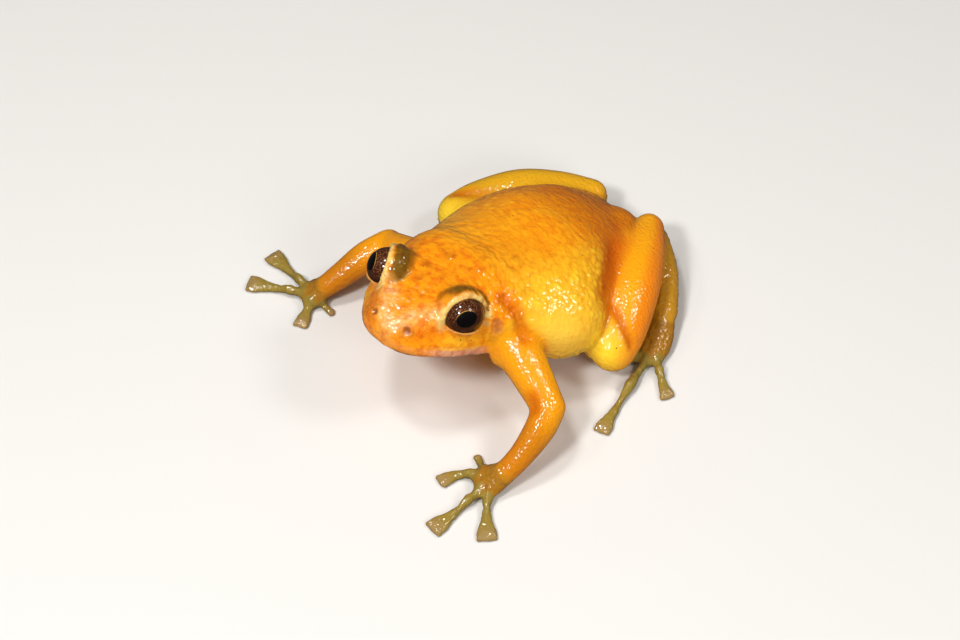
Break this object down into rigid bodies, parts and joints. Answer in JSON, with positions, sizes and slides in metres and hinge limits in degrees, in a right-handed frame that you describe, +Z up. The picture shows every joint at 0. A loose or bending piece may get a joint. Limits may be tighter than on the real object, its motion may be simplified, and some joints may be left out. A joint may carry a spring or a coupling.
{
  "type": "frog",
  "caption": "Life-size model of a bright orange boulder frog that sits low on spread hands and folded hind legs, head turned a little to its left.",
  "frame": {"origin": "middle of the frog's outline seen from above, at the level of the floor that it sits on", "axes": "+Z up, the trunk faces -Y, +X is the frog's left side"},
  "size_m": [0.0554, 0.0534, 0.0211],
  "materials": {
    "body_skin": "wet, finely granular",
    "limb_skin": "wet, nearly smooth",
    "hand_and_foot_skin": "wet, smooth and a little translucent",
    "throat_skin": "wet, smooth",
    "eye": "clear gloss"
  },
  "bodies": {
    "root": {"head": "body_skin", "lower_jaw": "throat_skin", "trunk": "body_skin", "eye_left": "eye", "eye_right": "eye", "upper_arm_left": "limb_skin", "forearm_left": "limb_skin", "hand_left": "hand_and_foot_skin", "finger_left_1": "hand_and_foot_skin", "finger_left_2": "hand_and_foot_skin", "finger_left_3": "hand_and_foot_skin", "finger_left_4": "hand_and_foot_skin", "thigh_left": "limb_skin", "shank_left": "limb_skin", "tarsus_left": "hand_and_foot_skin", "foot_left": "hand_and_foot_skin", "toe_left_1": "hand_and_foot_skin", "toe_left_2": "hand_and_foot_skin", "toe_left_3": "hand_and_foot_skin", "toe_left_4": "hand_and_foot_skin", "toe_left_5": "hand_and_foot_skin", "upper_arm_right": "limb_skin", "forearm_right": "limb_skin", "hand_right": "hand_and_foot_skin", "finger_right_1": "hand_and_foot_skin", "finger_right_2": "hand_and_foot_skin", "finger_right_3": "hand_and_foot_skin", "finger_right_4": "hand_and_foot_skin", "thigh_right": "limb_skin", "shank_right": "limb_skin", "tarsus_right": "hand_and_foot_skin", "foot_right": "hand_and_foot_skin", "toe_right_1": "hand_and_foot_skin", "toe_right_2": "hand_and_foot_skin", "toe_right_3": "hand_and_foot_skin", "toe_right_4": "hand_and_foot_skin", "toe_right_5": "hand_and_foot_skin"}
  },
  "joints": []
}
